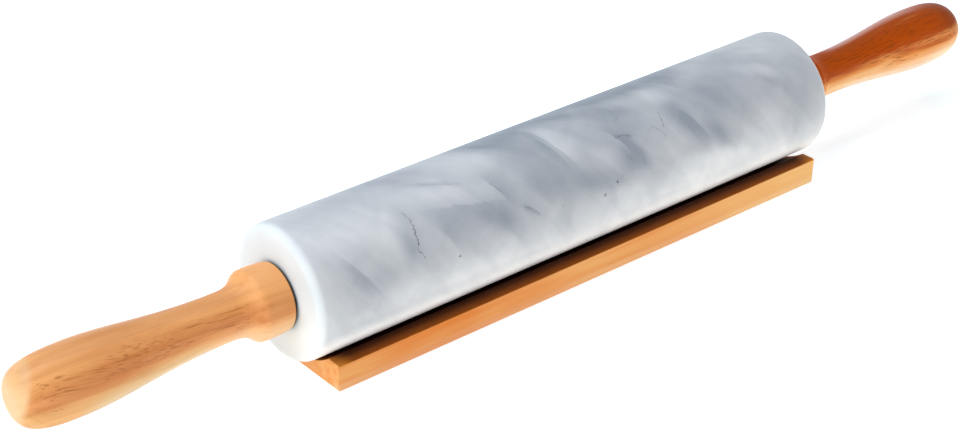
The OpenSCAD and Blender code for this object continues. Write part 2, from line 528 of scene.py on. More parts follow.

# Painted light from the white ground below: the stone is palest and purest about this angle, low on its
# front, and grows greyer and cooler with the degrees away from it.
GROUND_LIGHT_ANGLE = -43.0
GROUND_LIGHT_TONE = (9.0, 30.0, 0.0, 0.20)
GROUND_LIGHT_COLOUR = (16.0, 60.0, 1.0, 0.0)

# Between two distances from its end the stone turns to the clean tone of its end face, which keeps a share
# of the clouds and has a little grey added.
RIM_FADE = (0.9 * MM, 3.0 * MM)
END_KEEPS = 0.15
END_ADDS = 0.07

# The polish's roughness by its noise, what a mark adds to it, and the bumps as strength and height
POLISH_ROUGH = (0.48, 0.54)
MARK_ROUGH = 0.3
WAVE_BUMP = (0.10, 0.4 * MM)
MARK_BUMP = (0.5, 0.15 * MM)

# Soft clouds in the stone: x in mm, angle in degrees, half length and half width in mm, turn in degrees,
# strength, and cut. Strength above 0 is a grey cloud and below 0 a pale one. A cut of 1 or -1 keeps only
# the upper or lower half along the cloud's long line, so that the cloud has one crisp edge.
CLOUDS = [
    (10, 62, 82, 34, -4, 0.50, 0),
    (92, 46, 46, 24, -4, 0.36, 0),
    (-72, 26, 56, 17, -5, 0.32, 0),
    (4, 14, 60, 13, -4, 0.16, 0),
    (120, 26, 16, 24, 0, 0.26, 0),
    (-112, 14, 18, 18, 0, 0.20, 0),
    (62, 18, 16, 7.0, -15, 0.12, 0),
    (104, 2, 22, 9.0, 0, 0.16, 0),
    (24, 62, 14, 8.0, -20, 0.12, 0),
    # The next cloud, a long grey band along the top, is painted shade along the barrel's upper edge.
    (10, 116, 110, 12, 0, 0.56, 0),
    (-84, 98, 32, 12, 0, 0.24, 0),
    (-118, 104, 18, 16, 0, 0.16, 0),
    (-85, -20, 58, 4.2, 0, 0.24, 0),
    (55, -20, 85, 4.0, 0, 0.11, 0),
    (-105, -10, 32, 8.0, 0, 0.20, 0),
    (-100, -32, 40, 8.0, 0, -0.12, 0),
    (-20, -10, 24, 8.0, 0, 0.14, 0),
    (98, -10, 22, 8.0, 0, 0.08, 0),
    (20, 31, 9, 6.0, -20, 0.24, 0),
    (20, 7, 10, 5.0, -10, -0.16, 0),
    (118, 8, 10, 7.0, 0, -0.10, 0),
    (8, 98, 22, 9.0, -10, -0.08, 0),
    (-107, 28, 13, 5.0, -57, 0.27, -1),
    (-97, 17, 13, 5.0, -10, 0.16, 0),
    (-84, 42, 13, 5.0, 80, 0.22, 0),
    (-62, 75, 11, 3.0, -24, 0.20, -1),
    (-58, 48, 19, 9.0, -13, 0.20, -1),
    (-45, 24, 12, 4.5, -38, 0.19, 0),
    (-68, 26, 7, 4.0, -60, 0.16, 1),
    (-43, 50, 9, 8.0, -66, 0.24, 1),
    (-21, 82, 17, 10, -72, 0.18, 0),
    (-11, 64, 9, 4.0, -78, 0.23, -1),
    (-33, 102, 12, 7.0, -50, 0.26, 0),
    (-12, 36, 18, 8.0, -20, 0.20, 0),
    (-31, 23, 5, 1.3, -40, 0.22, 0),
    (7, 20, 13, 4.5, -18, 0.23, 0),
    (22, 80, 14, 4.5, -18, 0.23, 0),
    (20, 40, 11, 6.0, -60, 0.30, 1),
    (21, 52, 5, 1.2, -8, 0.19, 0),
    (49, 50, 9, 5.0, -62, 0.27, 0),
    (55, 36, 9, 4.5, -62, 0.27, -1),
    (65, 22, 9, 4.5, -38, 0.20, 0),
    (44, 100, 30, 5.0, -10, 0.16, 0),
    (4, 104, 8, 5.0, -50, 0.23, 0),
    (-9, 67, 14, 9.0, -72, -0.36, 1),
    (45, 80, 8, 5.5, -48, -0.31, 0),
    (97, 63, 13, 3.8, -27, -0.30, 0),
    (104, 85, 8, 2.5, -20, -0.16, 0),
    (-62, 63, 21, 4.5, -17, -0.16, 0),
    (-50, 100, 22, 9.0, -25, -0.24, 0),
    (62, 4, 17, 3.5, -12, -0.16, 0),
    (-24, 25, 10, 3.2, -48, -0.16, 0),
    (9, 42, 9, 4.0, -35, -0.18, 0),
    (-98, 52, 18, 6.0, -15, -0.16, 0),
    (72, 92, 18, 6.0, 30, -0.16, 0),
    (-20, -150, 70, 22, 25, 0.42, 0),
    (70, -100, 40, 12, -30, 0.36, -1),
    (-70, 160, 36, 12, -28, 0.34, 1),
    (35, 170, 30, 9.0, 35, -0.30, 0),
]

# Hairline veins as (x in mm, angle in degrees) points with a half width in mm and a strength
VEINS = [
    ([(-82.2, 61.3), (-81.6, 56.4), (-80.9, 51.4), (-81.4, 49.0), (-80.8, 47.0)], 0.16, 0.75),
    ([(-81.5, 45.5), (-81.0, 43.0), (-81.9, 40.5), (-81.2, 37.0), (-81.9, 32.0)], 0.23, 0.85),
    ([(-81.9, 32.0), (-82.9, 28.6), (-82.0, 25.6), (-81.5, 24.2), (-80.8, 19.5)], 0.18, 0.65),
    ([(-81.5, 45.5), (-80.6, 48.0), (-80.8, 44.0)], 0.14, 0.45),
    ([(41.5, 59.6), (40.9, 51.2), (40.2, 45.5)], 0.20, 0.55),
    ([(34.9, 51.5), (37.2, 46.1), (39.3, 38.3)], 0.18, 0.40),
    ([(16.9, 51.7), (20.0, 52.6), (23.1, 50.5)], 0.22, 0.38),
    ([(17.3, 54.6), (18.0, 36.1), (20.1, 29.9)], 0.18, 0.22),
    ([(-33.7, 27.6), (-30.8, 24.2), (-27.9, 17.8)], 0.20, 0.28),
    ([(-68.0, 78.0), (-61.0, 71.5), (-57.5, 68.0)], 0.25, 0.22),
    ([(-43.5, 56.0), (-41.5, 49.0), (-40.4, 45.0)], 0.20, 0.30),
    ([(20.5, 66.0), (23.2, 69.0), (25.5, 72.5)], 0.20, 0.30),
    ([(-20, -120), (-4, -128), (14, -140), (24, -139), (38, -151)], 0.25, 0.70),
    ([(52, 152), (66, 160), (70, 171)], 0.25, 0.55),
]

# Small mineral specks: x in mm, angle in degrees, radius in mm and strength
SPECKS = [
    (-65.9, 10.3, 0.70, 0.85),
    (10.5, 17.4, 0.60, 0.80),
    (3.8, 11.0, 0.70, 0.60),
    (-16.8, 16.2, 0.45, 0.35),
    (-90.0, -95.0, 0.60, 0.60),
]


def side_middle(angle):
    """The middle of the unrolled side on which a mark at this angle is drawn."""
    return FRONT_MIDDLE if FRONT_LOW < angle < FRONT_HIGH else BACK_MIDDLE


def flat_point(x, angle, middle):
    """A place on the stone, given as x in mm and an angle, on the side unrolled about middle."""
    return Vector((x, ((angle - middle + 180) % 360 - 180) * ARC_MM, 0))


class Stone(PinSurface):
    """Polished marble: clouds over soft noise, with hairline veins and specks."""

    def __init__(self, name):
        super().__init__(name)
        self.twisted = self.wound(self.place, STONE_TWIST)
        self.strokes = self.stretched(self.twisted, STROKE_SCALES)
        self.soft = self.wander(self.noise(self.strokes, *CLOUD_NOISE), CLOUD_WANDER)
        self.fine = self.wander(self.noise(self.place, *VEIN_NOISE), VEIN_WANDER)
        self.sides = {middle: self.unrolled(middle) for middle in (FRONT_MIDDLE, BACK_MIDDLE)}
        self.off_ground_light = self.absolute(self.minus(self.angle, GROUND_LIGHT_ANGLE))
        self.from_end = self.minus(BARREL_END, self.from_middle)

    def unrolled(self, middle):
        """x and arc length in mm, with the seam half a turn away from the middle."""
        away = self.math("WRAP", self.minus(self.angle, middle), 180.0, -180.0)
        return self.join(self.times(self.x, 1 / MM), self.times(away, ARC_MM), 0.0)

    def cloud(self, x, angle, half_length, half_width, turn, strength, cut):
        """How much greyer one cloud makes the stone."""
        middle = side_middle(angle)
        from_centre = self.moved(self.offset(self.sides[middle], flat_point(x, angle, middle)), self.soft)
        lying = self.turned(from_centre, radians(-turn), "Z_AXIS")
        share = self.length(self.stretched(lying, (1 / half_length, 1 / half_width, 0)))
        patch = self.remap(share, *CLOUD_FADE, strength, 0.0)
        if cut:
            beside = self.times(self.split(lying)[1], cut)
            patch = self.times(patch, self.remap(beside, -CUT_EDGE, CUT_EDGE))
        return patch

    def tone(self):
        """How grey the stone is, from 0 to 1."""
        tone = reduce(self.plus, [self.cloud(*cloud) for cloud in CLOUDS])
        ramp = self.fraction(self.times(self.level(self.strokes, *STROKE_NOISE), STROKE_COUNT))
        stroke = self.times(ramp, self.remap(ramp, *STROKE_FALLS, 1.0, 0.0))
        tone = self.plus(tone, self.times(stroke, STROKE_SHARE))
        for place, noise, change in (
            (self.twisted, BROAD_NOISE, BROAD_TONE),
            (self.strokes, WISP_NOISE, WISP_TONE),
            (self.place, MOTTLE_NOISE, MOTTLE_TONE),
            (self.place, PATCH_NOISE, PATCH_TONE),
        ):
            tone = self.plus(tone, self.remap(self.level(place, *noise), *change))
        # Painted light from the ground: the stone greys away from the low front angle.
        tone = self.plus(tone, self.remap(self.off_ground_light, *GROUND_LIGHT_TONE))
        tone = self.times(tone, self.remap(self.from_end, *RIM_FADE, END_KEEPS, 1.0))
        tone = self.plus(tone, self.remap(self.from_end, *RIM_FADE, END_ADDS, 0.0))
        return self.clamped(tone)

    def vein(self, points, half_width, strength):
        """One mark for each straight run between the points."""
        middle = side_middle(points[0][1])
        flat = self.moved(self.sides[middle], self.fine)
        ends = [flat_point(x, angle, middle) for x, angle in points]
        marks = []
        for start, end in zip(ends, ends[1:]):
            run = end - start
            from_start = self.offset(flat, start)
            share = self.clamped(self.dot(from_start, run / run.length_squared))
            away = self.length(self.offset(from_start, self.scaled(run, share)))
            marks.append(self.remap(away, MARK_CORE * half_width, VEIN_END * half_width, strength, 0.0))
        return marks

    def speck(self, x, angle, radius, strength):
        """The mark of one round speck."""
        middle = side_middle(angle)
        flat = self.moved(self.sides[middle], self.fine)
        away = self.length(self.offset(flat, flat_point(x, angle, middle)))
        return self.remap(away, MARK_CORE * radius, SPECK_END * radius, strength, 0.0)

    def lines(self):
        """How dark the veins and specks are, broken up by fine gaps."""
        marks = [mark for vein in VEINS for mark in self.vein(*vein)]
        marks += [self.speck(*speck) for speck in SPECKS]
        whole = self.remap(self.level(self.place, *GAP_NOISE), *MARK_GAPS)
        return self.times(reduce(self.greater, marks), self.remap(whole, 0.0, 1.0, MARK_LEFT, 1.0))


def marble():
    """The stone's colour from its tone, tints and marks, under a soft polish."""
    g = Stone("polished_marble")
    line = g.lines()
    # Painted light from the ground: warmer and purer about the low front angle
    pale = g.mix(g.remap(g.off_ground_light, *GROUND_LIGHT_COLOUR), STONE_PALE, STONE_GROUND_LIT)
    colour = g.mix(g.tone(), pale, STONE_GREY)
    tint = g.level(g.twisted, *TINT_NOISE)
    colour = g.mix(g.remap(tint, *MAUVE_TINT), colour, STONE_MAUVE)
    colour = g.mix(g.remap(tint, *GREEN_TINT), colour, STONE_GREEN)
    colour = g.mix(g.remap(g.level(g.place, *GRAIN_NOISE), *GRAIN_TINT), colour, WHITE)
    colour = g.mix(line, colour, STONE_LINE)
    colour = g.mix(g.remap(g.from_end, *RIM_FADE, 1.0, 0.0), colour, STONE_END, "MULTIPLY")
    roughness = g.remap(g.level(g.place, *POLISH_NOISE), *NOISE_SPAN, *POLISH_ROUGH)
    roughness = g.plus(roughness, g.times(line, MARK_ROUGH))
    normal = g.bump(g.level(g.place, *WAVE_NOISE), *WAVE_BUMP)
    normal = g.bump(g.times(line, -1.0), *MARK_BUMP, normal)
    return g.finish(
        colour,
        roughness,
        normal,
        Specular_IOR_Level=0.12,
        Subsurface_Weight=0.6,
        Subsurface_Radius=(1.0, 1.0, 1.0),
        Subsurface_Scale=2.0 * MM,
    )


# Wood

# The wood's noises as their pitch per metre along X and across it, detail and roughness
SWAY_NOISE = (9.0, 40.0, 3.0, 0.5)
FIGURE_NOISE = (16.0, 110.0, 2.0, 0.5)
STREAK_NOISE = (12.0, 420.0, 3.0, 0.55)
FIBRE_NOISE = (60.0, 1700.0, 2.0, 0.6)
DRIFT_NOISE = (30.0, 150.0, 2.0, 0.5)
PORE_DETAIL = (1.0, 0.4)

# The fibres sway by up to half of this, and the rings climb by a share of x.
SWAY = 4.0 * MM
RING_CLIMB = 0.06

# A ring darkens between two shares of its width, and ends between two more.
RING_DARKENS = (0.30, 0.90)
RING_ENDS = (0.90, 1.0)

# How much figure, streaks and fibres darken the wood: the noise levels and the most that each adds
FIGURE_TONE = (0.30, 0.70, 0.0, 0.30)
STREAK_TONE = (0.35, 0.75, 0.0, 0.22)
FIBRE_TONE = (0.35, 0.70, 0.0, 0.10)

# Pores appear above a noise level that falls from sparse to crowded wood, and crowd a little by a broad
# noise. They fade to a share of themselves where the surface leans towards the ends.
PORE_LIMIT = (0.84, 0.565)
PORE_EDGE = 0.05
PORE_DRIFT = (0.35, 0.65, 0.0, 0.3)
PORE_LEAN = (0.18, 0.45, 1.0, 0.12)
PORE_COLOUR_SHARE = 0.60

# The varnish: relief of the fibres as a share of the pores' depth, the bump as strength and height, and how
# rough its top is
FIBRE_RELIEF = 0.25
WOOD_BUMP = (0.30, 0.10 * MM)
VARNISH_ROUGH = 0.22


class Wood(PinSurface):
    """Varnished hardwood. Each method adds one trait, first to the tone and then to the colour.

    The tone runs from 0, the light colour, to 1, the dark one. seed moves the wood to another part of its
    noises, and pore is the colour of its pores.
    """

    def __init__(self, name, seed, pore):
        super().__init__(name)
        self.pore = pore
        shift = (seed, 0, 0)
        self.straight = self.moved(self.place, shift)
        self.bent = self.moved(self.place, self.wander(self.drawn(self.straight, *SWAY_NOISE), SWAY))
        self.swaying = self.moved(self.bent, shift)
        self.figure = self.drawn(self.straight, *FIGURE_NOISE)["Fac"]
        self.drift = self.drawn(self.straight, *DRIFT_NOISE)["Fac"]
        self.streak = self.drawn(self.swaying, *STREAK_NOISE)["Fac"]
        self.fibre = self.drawn(self.swaying, *FIBRE_NOISE)["Fac"]

    def drawn(self, place, along, across, detail, roughness):
        """A noise that is drawn out along X, with its pitch per metre along X and across it."""
        return self.noise(self.stretched(place, (along, across, across)), 1.0, detail, roughness)

    def grain(self, pith, ring_width=3.6 * MM, ring_depth=0.16):
        """Starts the tone: faint rings about a pith along X at (y, z), then figure, streaks and fibres."""
        _, y, z = self.split(self.bent)
        dy = self.minus(y, pith[0])
        dz = self.plus(self.minus(z, pith[1]), self.times(self.x, RING_CLIMB))
        radius = self.math("SQRT", self.plus(self.times(dy, dy), self.times(dz, dz)))
        ring = self.fraction(self.times(radius, 1 / ring_width))
        late = self.times(self.remap(ring, *RING_DARKENS), self.remap(ring, *RING_ENDS, 1.0, 0.0))
        self.tone = self.times(late, ring_depth)
        traits = ((self.figure, FIGURE_TONE), (self.streak, STREAK_TONE), (self.fibre, FIBRE_TONE))
        for noise, change in traits:
            self.tone = self.plus(self.tone, self.remap(noise, *change))

    def fades(self, *steps):
        """Steps (from x, to x, amount) by which the wood grows darker along X, or paler below 0."""
        for from_x, to_x, amount in steps:
            self.tone = self.plus(self.tone, self.remap(self.x, from_x, to_x, 0.0, amount))

    def tint(self, light, dark, middle=None):
        """Turns the tone into colour. middle is the colour halfway, where it isn't the plain mixture."""
        tone = self.clamped(self.tone)
        if middle:
            lighter = self.mix(self.remap(tone, 0.0, 0.5, smooth=False), light, middle)
            self.colour = self.mix(self.remap(tone, 0.5, 1.0, smooth=False), lighter, dark)
        else:
            self.colour = self.mix(tone, light, dark)

    def crowding(self):
        """How dense the pores are, from 0 to 1."""
        return self.remap(self.drift, *PORE_DRIFT)

    def pores(self, pitch=(150.0, 3200.0), spiral=0.0):
        """Short dark pores. pitch is per metre along X and across it, and spiral is in radians per metre."""
        level = self.drawn(self.wound(self.swaying, -spiral), *pitch, *PORE_DETAIL)["Fac"]
        limit = self.remap(self.crowding(), 0.0, 1.0, *PORE_LIMIT)
        deep = self.remap(self.minus(level, limit), 0.0, PORE_EDGE)
        lean = self.absolute(self.split(self.facing_way)[0])
        self.deep = self.times(deep, self.remap(lean, *PORE_LEAN))
        self.colour = self.mix(self.times(self.deep, PORE_COLOUR_SHARE), self.colour, self.pore)

    def varnish(self, gloss, coat, rough, coat_ior=1.5):
        """Finishes the wood with varnish. rough is its roughness at the palest and the darkest streaks."""
        relief = self.minus(self.times(self.fibre, FIBRE_RELIEF), self.deep)
        return self.finish(
            self.colour,
            self.remap(self.streak, *NOISE_SPAN, *rough),
            self.bump(relief, *WOOD_BUMP),
            Specular_IOR_Level=gloss,
            Coat_Weight=coat,
            Coat_Roughness=VARNISH_ROUGH,
            Coat_IOR=coat_ior,
        )


# Handle wood. A change runs between two places or heights, and the two numbers after them, where there are
# any, are the trait's shares there. Places count from the collar's face and heights from the pin's axis.

# The crowd of pores starts and stops over so many degrees about its two angles, and its edges drift by so
# many each way. Pores are fewer on the collar.
CROWD_STARTS = (-10, 6)
CROWD_STOPS = (-8, 14)
CROWD_DRIFT = 14.0
CROWD_SHARE = 0.7
CALM_COLLAR = (7.0 * MM, 14.0 * MM, 0.45, 1.0)

# The heart's edges wander by so much each way. It fades by a share where the butt's highlight is painted.
HEART_WANDER = 1.8 * MM
HEART_FADES = 0.9

# Painted light and sheen from the white ground below turn the underside pale, and between two distances from
# the pin's middle they turn it more so, or less.
UNDERSIDE_LIGHT_HEIGHTS = (1.2 * MM, -6.2 * MM, 0.0, 0.45)
UNDERSIDE_LIGHT_AT_BUTT = (0.200, 0.216)

# A painted highlight makes the left butt pale past a slanting line, whose place shifts with height and depth
# by a share of them. The patch is thinner at its upper side.
BUTT_HIGHLIGHT_EDGE = (98.0 * MM, 101.2 * MM)
BUTT_HIGHLIGHT_SLANT = 0.35
BUTT_HIGHLIGHT_HEIGHTS = (3.0 * MM, 11.0 * MM, 0.46, 0.26)

# The left grip loses some red below the axis, from the neck on.
COOL_HEIGHTS = (2.5 * MM, -2.0 * MM, 0.0, 0.12)
COOL_PLACES = (24.0 * MM, 42.0 * MM)
CYAN = (0.0, 1.0, 1.0)

# Painted shade for the dark gap beside the stone: the edge of the collar there is nearly black.
GAP_SHADE_PLACES = (0.35 * MM, 0.75 * MM, 0.97, 0.0)
GAP_SHADE_COLOUR = (0.004, 0.002, 0.001)

# The varnish shines along the grip's rim, from the neck on, and little near the butt.
SHINE_STARTS = (22.0 * MM, 34.0 * MM)
SHINE_ENDS = (68.0 * MM, 92.0 * MM, 1.0, 0.15)


class HandleWood(Wood):
    """Turned wood, with traits that are placed along the handle and about the pin's axis."""

    def __init__(self, name, seed, pore, crowd):
        super().__init__(name, seed, pore)
        self.crowd = crowd
        self.from_face = self.minus(self.from_middle, COLLAR_X)

    def crowding(self):
        """The pores crowd together between two angles, and are fewer on the collar."""
        low, high = self.crowd
        drift = self.remap(self.drift, *NOISE_SPAN, -CROWD_DRIFT, CROWD_DRIFT, smooth=False)
        angle = self.plus(self.angle, drift)
        starts = self.remap(angle, *(low + step for step in CROWD_STARTS))
        stops = self.remap(angle, *(high + step for step in CROWD_STOPS), 1.0, 0.0)
        crowd = self.times(self.times(starts, stops), CROWD_SHARE)
        return self.times(self.plus(crowd, super().crowding()), self.remap(self.from_face, *CALM_COLLAR))

    def butt_highlight(self):
        """1 past the slanting line that bounds the butt's painted highlight, and 0 before it."""
        slant = self.times(self.plus(self.up, self.across), BUTT_HIGHLIGHT_SLANT)
        return self.remap(self.plus(self.from_face, slant), *BUTT_HIGHLIGHT_EDGE)

    def beyond(self, direction):
        """How far a place lies past the plane through the axis at this angle."""
        a = radians(direction)
        return self.plus(self.times(self.up, cos(a)), self.times(self.across, sin(a)))

    def heart(self, first, last, soft, strength, left_out=0.0):
        """A darker band between two angles, with edges soft over so many metres each way.

        left_out is how much of the band is left out, place by place.
        """
        bend = self.remap(self.figure, *NOISE_SPAN, -HEART_WANDER, HEART_WANDER, smooth=False)
        rise = self.remap(self.plus(self.beyond(first), bend), -soft, soft)
        fall = self.remap(self.plus(self.beyond(last), bend), -soft, soft, 1.0, 0.0)
        self.inner = self.times(self.times(rise, fall), self.rest_of(left_out))
        self.tone = self.plus(self.tone, self.times(self.inner, strength))

    def painted_underside_light(self, colour, at_tip=0.0):
        """Painted light and sheen from the ground: a paler colour underneath. at_tip is its strength at the
        butt, against 1 along the grip.
        """
        under = self.remap(self.up, *UNDERSIDE_LIGHT_HEIGHTS)
        under = self.times(under, self.remap(self.from_middle, *UNDERSIDE_LIGHT_AT_BUTT, 1.0, at_tip))
        self.colour = self.mix(under, self.colour, colour)

    def painted_butt_highlight(self, colour, butt_highlight):
        """A painted highlight: a pale patch on the very end of the butt."""
        share = self.remap(self.up, *BUTT_HIGHLIGHT_HEIGHTS)
        self.colour = self.mix(self.times(butt_highlight, share), self.colour, colour)

    def cooler_below(self, butt_highlight):
        """Takes a little red from the grip's lower side, up to the butt's painted highlight."""
        lower = self.remap(self.up, *COOL_HEIGHTS)
        lower = self.times(lower, self.remap(self.from_face, *COOL_PLACES))
        lower = self.times(lower, self.rest_of(butt_highlight))
        self.colour = self.mix(lower, self.colour, CYAN, "MULTIPLY")

    def deepen_heart(self, from_x, to_x, amount):
        """Darkens the heart to the pores' colour along X."""
        deeper = self.times(self.inner, self.remap(self.x, from_x, to_x, 0.0, amount))
        self.colour = self.mix(deeper, self.colour, self.pore)

    def painted_gap_shade(self):
        """Painted shade: a nearly black edge where the collar meets the washer, for the dark gap there."""
        self.colour = self.mix(self.remap(self.from_face, *GAP_SHADE_PLACES), self.colour, GAP_SHADE_COLOUR)

    def shine_at_rim(self, low, high, weight, coat):
        """Lets the varnish's weight grow towards a grazing view, on the scale of Layer Weight's Facing."""
        grazing = self.node("ShaderNodeLayerWeight", {"Blend": 0.5}).outputs["Facing"]
        shine = self.remap(grazing, low, high, 0.0, weight)
        shine = self.times(shine, self.remap(self.from_face, *SHINE_STARTS))
        shine = self.times(shine, self.remap(self.from_face, *SHINE_ENDS))
        self.put(self.shader.inputs["Coat Weight"], self.plus(shine, coat))


def left_handle_wood():
    coat = 0.06
    g = HandleWood("left_handle_wood", seed=1.7, pore=(0.42, 0.12, 0.025), crowd=(8, 52))
    g.grain(pith=(0.020, 0.060))
    # Where the butt's painted highlight lies
    butt_highlight = g.butt_highlight()
    g.heart(first=0, last=40, soft=2.5 * MM, strength=0.52, left_out=g.times(butt_highlight, HEART_FADES))
    # The second step makes the butt paler, as part of its painted highlight.
    g.fades((-0.150, -0.134, -0.48), (-0.196, -0.218, -0.24))
    g.tint(light=(0.92, 0.425, 0.15), dark=(0.62, 0.20, 0.05))
    # Painted light and sheen from the white ground on the underside
    g.painted_underside_light((0.84, 0.68, 0.42))
    # Painted highlight on the end of the butt
    g.painted_butt_highlight((0.84, 0.68, 0.40), butt_highlight)
    g.cooler_below(butt_highlight)
    g.pores(pitch=(70.0, 2500.0), spiral=14.0)
    # Painted shade for the gap between the collar and the stone
    g.painted_gap_shade()
    material = g.varnish(gloss=0.2, coat=coat, rough=(0.40, 0.50))
    g.shine_at_rim(low=0.45, high=0.75, weight=0.30, coat=coat)
    return material


def right_handle_wood():
    coat = 0.0
    g = HandleWood("right_handle_wood", seed=4.3, pore=(0.26, 0.045, 0.003), crowd=(8, 80))
    g.grain(pith=(-0.030, 0.075))
    g.heart(first=19.5, last=150, soft=3.6 * MM, strength=0.80)
    g.tint(light=(0.95, 0.58, 0.25), middle=(0.80, 0.29, 0.067), dark=(0.48, 0.072, 0.002))
    # Painted light and sheen from the white ground on the underside
    g.painted_underside_light((0.95, 0.76, 0.50), at_tip=1.9)
    g.deepen_heart(from_x=0.210, to_x=0.227, amount=0.85)
    g.pores(pitch=(90.0, 1900.0))
    # Painted shade for the gap between the collar and the stone
    g.painted_gap_shade()
    material = g.varnish(gloss=0.08, coat=coat, rough=(0.42, 0.52), coat_ior=1.8)
    g.shine_at_rim(low=0.50, high=0.68, weight=0.9, coat=coat)
    return material


# Cradle wood

# The foot of the board's long sides is paler. Heights are above the ground, and depths are distances from
# the board's middle line.
FOOT_HEIGHTS = (1.0 * MM, 4.0 * MM, 0.20, 0.0)
FOOT_DEPTHS = (22.0 * MM, 25.0 * MM)
FOOT_PALE = (0.97, 0.80, 0.55)

# Painted shade, where the barrel shades the board, covers the lips, from just below their top, and the
# groove, from its edge inwards. It stops at the board's ends, and is browner near them, where it paints less
# shade.
GROOVE_SHADE_BELOW_TOP = (0.70 * MM, 0.45 * MM)
GROOVE_SHADE_DEPTHS = (19.6 * MM, 19.0 * MM)
GROOVE_SHADE_HEIGHTS = (2.0 * MM, 3.4 * MM)
GROOVE_SHADE_STOPS = (0.15 * MM, 0.6 * MM)
GROOVE_SHADE_NEAR_END = (0.5 * MM, 8.0 * MM, 1.0, 0.0)
GROOVE_SHADE_END_SHARE = 0.55

# The painted shade turns from brown at the board's outer edge to black at this depth.
GROOVE_SHADE_BLACK_Y = 20.5 * MM
GROOVE_SHADE_BROWN = (0.30, 0.070, 0.005)
GROOVE_SHADE_END_BROWN = (0.66, 0.22, 0.025)
GROOVE_SHADE_BLACK = (0.050, 0.010, 0.001)


class CradleWood(Wood):
    """The board's wood, with its paler foot and the painted shade on its top."""

    def pale_foot(self):
        """A paler strip along the foot of the long sides."""
        foot = self.remap(self.height, *FOOT_HEIGHTS)
        foot = self.times(foot, self.remap(self.absolute(self.across), *FOOT_DEPTHS))
        self.colour = self.mix(foot, self.colour, FOOT_PALE)

    def painted_groove_shade(self):
        """Painted shade on the lips and in the groove, where the barrel shades them."""
        depth = self.absolute(self.across)
        from_end = self.minus(CRADLE_END, self.from_middle)
        lips = self.remap(self.height, *(CRADLE_TOP - below for below in GROOVE_SHADE_BELOW_TOP))
        groove = self.remap(depth, *GROOVE_SHADE_DEPTHS, smooth=False)
        groove = self.times(groove, self.remap(self.height, *GROOVE_SHADE_HEIGHTS))
        in_shade = self.times(self.greater(lips, groove), self.remap(from_end, *GROOVE_SHADE_STOPS))
        near_end = self.remap(from_end, *GROOVE_SHADE_NEAR_END)
        darkness = self.remap(depth, CRADLE_HALF_W, GROOVE_SHADE_BLACK_Y)
        darkness = self.times(darkness, self.rest_of(self.times(near_end, GROOVE_SHADE_END_SHARE)))
        brown = self.mix(near_end, GROOVE_SHADE_BROWN, GROOVE_SHADE_END_BROWN)
        self.colour = self.mix(in_shade, self.colour, self.mix(darkness, brown, GROOVE_SHADE_BLACK))


def cradle_wood():
    g = CradleWood("cradle_wood", seed=8.9, pore=(0.36, 0.11, 0.03))
    g.grain(pith=(0.045, -0.050), ring_width=4.5 * MM, ring_depth=0.10)
    g.fades(
        (-0.130, -0.120, 0.17),
        (-0.112, -0.090, 0.33),
        (-0.070, -0.045, -0.21),
        (-0.030, 0.000, -0.09),
        (0.010, 0.040, -0.09),
        (0.045, 0.080, -0.29),
        (0.085, 0.110, -0.12),
    )
    g.tint(light=(0.90, 0.515, 0.195), dark=(0.78, 0.24, 0.05))
    g.pores()
    g.pale_foot()
    # Painted shade on the lips and in the groove under the barrel
    g.painted_groove_shade()
    return g.varnish(gloss=0.05, coat=0.0, rough=(0.34, 0.46))


# Inner pieces

# Tool marks: their pitch per metre, even, along a drawn rod and round a turned piece, their noise and bump,
# the darker shade that they give as a share of the colour, and how much of it shows
EVEN_MARKS = (900.0, 900.0, 900.0)
DRAWN_MARKS = (60.0, 2500.0, 2500.0)
TURNED_MARKS = (2500.0, 200.0, 200.0)
TOOL_NOISE = (1.0, 3.0, 0.6)
TOOL_BUMP = (0.2, 0.05 * MM)
TOOL_SHADE = 0.8
TOOL_SHARE = 0.15


def plain(name, colour, rough, metal=0.0, pitch=EVEN_MARKS):
    """A metal or moulded plastic with fine tool marks."""
    g = Surface(name)
    marks = g.level(g.stretched(g.place, pitch), *TOOL_NOISE)
    darker = tuple(TOOL_SHADE * c for c in colour)
    shade = g.mix(g.remap(marks, *NOISE_SPAN, 0.0, TOOL_SHARE), colour, darker)
    roughness = g.remap(marks, *NOISE_SPAN, *rough)
    return g.finish(shade, roughness, g.bump(marks, *TOOL_BUMP), Metallic=metal)


# Pieces


def dress(piece, body, slot, material, *nodes):
    """Gives a piece its material and body, and hides the CAD nodes that it stands for. slot is not used."""
    piece.data.materials.clear()
    piece.data.materials.append(material)
    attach(piece, body)
    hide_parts(*nodes)


def repaint(node, material):
    """Gives a CAD node a better material in its own slots."""
    for slot in frame["nodes"][node].material_slots:
        slot.material = material


barrel = lathe("barrel_stone", barrel_outline())
dress(barrel, "barrel", "marble", marble(), "marble_barrel")

for side, name, wood in ((-1, "left_handle", left_handle_wood), (1, "right_handle", right_handle_wood)):
    piece = lathe(name + "_turned", [(side * (COLLAR_X + s), r) for s, r in handle_outline()])
    dress(piece, "axle_and_handles", name + "_wood", wood(), name)

cradle = cradle_piece("cradle_board")
dress(cradle, "cradle", "cradle_wood", cradle_wood(), "cradle")

STEEL = plain("drawn_steel", (0.60, 0.61, 0.62), rough=(0.25, 0.4), metal=1.0, pitch=DRAWN_MARKS)
BRASS = plain("machined_brass", (0.72, 0.53, 0.22), rough=(0.25, 0.4), metal=1.0, pitch=TURNED_MARKS)
NYLON = plain("natural_nylon", (0.82, 0.80, 0.73), rough=(0.4, 0.5))
# The thrust washers are nearly black, which paints the shade in the gap between each collar and the stone.
GAP_SHADE_NYLON = plain("black_nylon", (0.012, 0.012, 0.013), rough=(0.5, 0.6))

